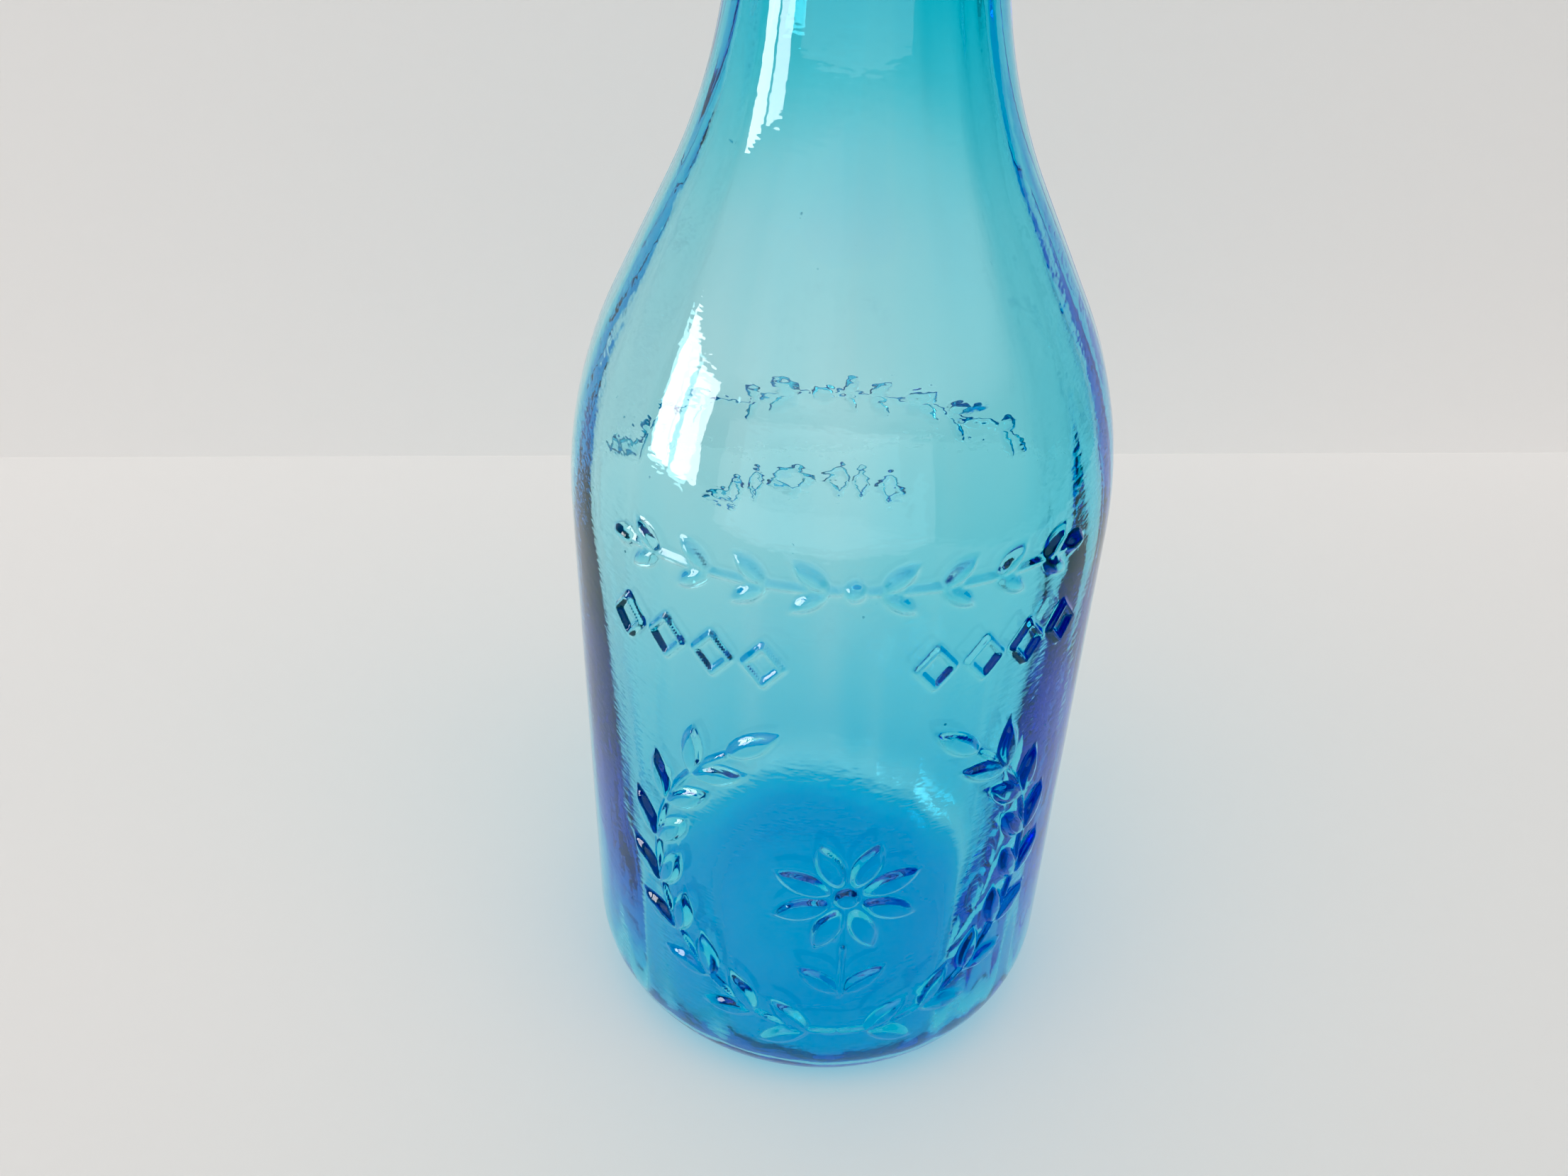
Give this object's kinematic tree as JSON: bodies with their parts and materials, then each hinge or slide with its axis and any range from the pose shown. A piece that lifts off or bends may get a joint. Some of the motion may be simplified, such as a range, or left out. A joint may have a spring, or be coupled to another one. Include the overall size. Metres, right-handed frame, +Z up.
{
  "type": "milk bottle",
  "caption": "Quart milk bottle of clear blue glass with raised ornament, and a domed glass lid held by a wire bail and lever.",
  "frame": {"origin": "centre of the base, on the surface that the bottle stands on", "axes": "+Z up along the bottle's axis; -Y is the front, where the lever hangs; the closure's hinges run along X"},
  "size_m": [0.096, 0.0978, 0.2612],
  "materials": {
    "bottle_glass": "clear blue, smooth, with raised ornament",
    "lid_glass": "clear blue, pressed",
    "wire": "plain drawn wire, slightly dulled",
    "ring_rubber": "matte"
  },
  "bodies": {
    "bottle_body": {"bottle": "bottle_glass", "neck_wire": "wire"},
    "lever_body": {"lever": "wire"},
    "bail_body": {"bail": "wire"},
    "lid_body": {"glass_lid": "lid_glass", "rubber_ring": "ring_rubber"}
  },
  "joints": [
    {"name": "lever_swing", "type": "hinge", "parent": "bottle_body", "child": "lever_body", "pos_m": [0, 0, 0.22837], "axis": [-1, 0, 0], "range_deg": [-105, 0]},
    {"name": "bail_swing", "type": "hinge", "parent": "lever_body", "child": "bail_body", "pos_m": [0, -0.0064, 0.2295], "axis": [-1, 0, 0], "range_deg": [-105, 18]},
    {"name": "lid_lift", "type": "slide", "parent": "bottle_body", "child": "lid_body", "axis": [0, 0, 1], "range_m": [0, 0.06]}
  ]
}
